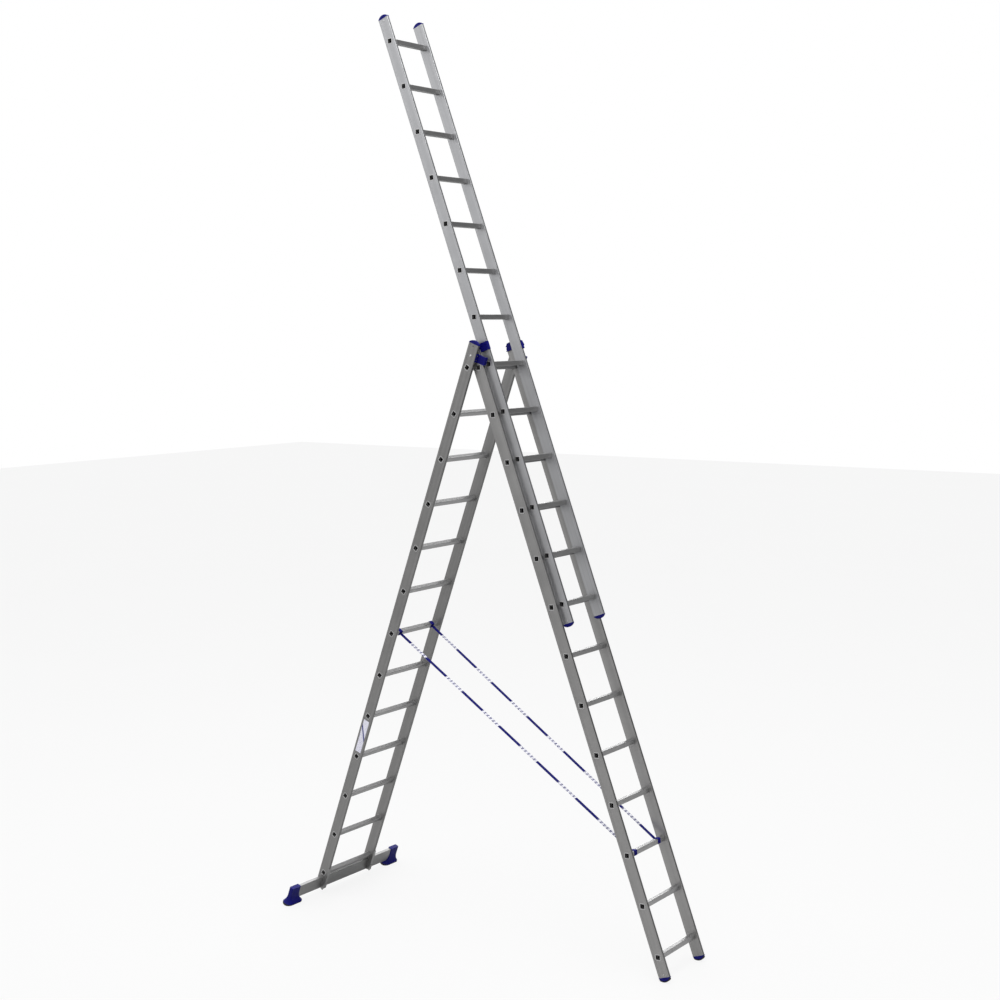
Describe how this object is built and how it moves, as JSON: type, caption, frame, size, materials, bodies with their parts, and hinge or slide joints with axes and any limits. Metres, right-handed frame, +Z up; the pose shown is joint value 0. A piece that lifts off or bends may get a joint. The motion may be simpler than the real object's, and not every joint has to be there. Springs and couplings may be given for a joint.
{
  "type": "extension ladder",
  "caption": "Aluminium combination ladder: hinged trestle legs, a sliding top section, a foot stabiliser bar and webbing spreader straps.",
  "frame": {"origin": "on the floor, midway between the front and rear feet, on the centre plane", "axes": "+Z up, +X towards the climbing side (the middle section's feet), +Y to the right-hand stile"},
  "size_m": [2.5529, 1.046, 5.2904],
  "materials": {
    "aluminium": "satin",
    "rung_aluminium": "satin",
    "bar_aluminium": "satin",
    "bracket_metal": "satin",
    "steel": "polished",
    "blue_plastic": "satin",
    "black_rubber": "matte",
    "webbing": "woven",
    "label": "gloss"
  },
  "bodies": {
    "base_section": {"base_left_stile": "aluminium", "base_left_head_cap": "blue_plastic", "hinge_left_insert": "steel", "hinge_left_pin": "steel", "base_left_guide": "blue_plastic", "stabiliser_left_bracket": "bracket_metal", "stabiliser_left_boot": "blue_plastic", "stabiliser_left_sole": "black_rubber", "spreader_left_strap": "webbing", "strap_left_rear_loop": "webbing", "base_right_stile": "aluminium", "base_right_head_cap": "blue_plastic", "hinge_right_insert": "steel", "hinge_right_pin": "steel", "base_right_guide": "blue_plastic", "stabiliser_right_bracket": "bracket_metal", "stabiliser_right_boot": "blue_plastic", "stabiliser_right_sole": "black_rubber", "spreader_right_strap": "webbing", "strap_right_rear_loop": "webbing", "base_rungs": "rung_aluminium", "base_cap_rivets": "steel", "hinge_bolts": "steel", "base_guide_rivets": "steel", "stabiliser_bar": "bar_aluminium", "stabiliser_bolts": "steel", "rating_label": "label"},
    "middle_section": {"middle_left_stile": "aluminium", "middle_left_guide": "blue_plastic", "middle_left_foot_cap": "blue_plastic", "middle_left_foot_pad": "black_rubber", "strap_left_front_loop": "webbing", "middle_right_stile": "aluminium", "middle_right_guide": "blue_plastic", "middle_right_foot_cap": "blue_plastic", "middle_right_foot_pad": "black_rubber", "strap_right_front_loop": "webbing", "middle_rungs": "rung_aluminium", "middle_cap_rivets": "steel"},
    "top_section": {"top_left_stile": "aluminium", "top_left_head_cap": "blue_plastic", "top_left_foot_cap": "blue_plastic", "top_right_stile": "aluminium", "top_right_head_cap": "blue_plastic", "top_right_foot_cap": "blue_plastic", "top_rungs": "rung_aluminium", "top_cap_rivets": "steel"}
  },
  "joints": [
    {"name": "leg_spread", "type": "hinge", "parent": "base_section", "child": "middle_section", "pos_m": [0.00404, 0, 3.28313], "axis": [0, 1, 0], "range_deg": [0, 40.8], "deforming": ["spreader_left_strap", "spreader_right_strap"]},
    {"name": "extension", "type": "slide", "parent": "middle_section", "child": "top_section", "axis": [-0.3477, 0, 0.9376], "range_m": [-1.96, 0.56]}
  ]
}
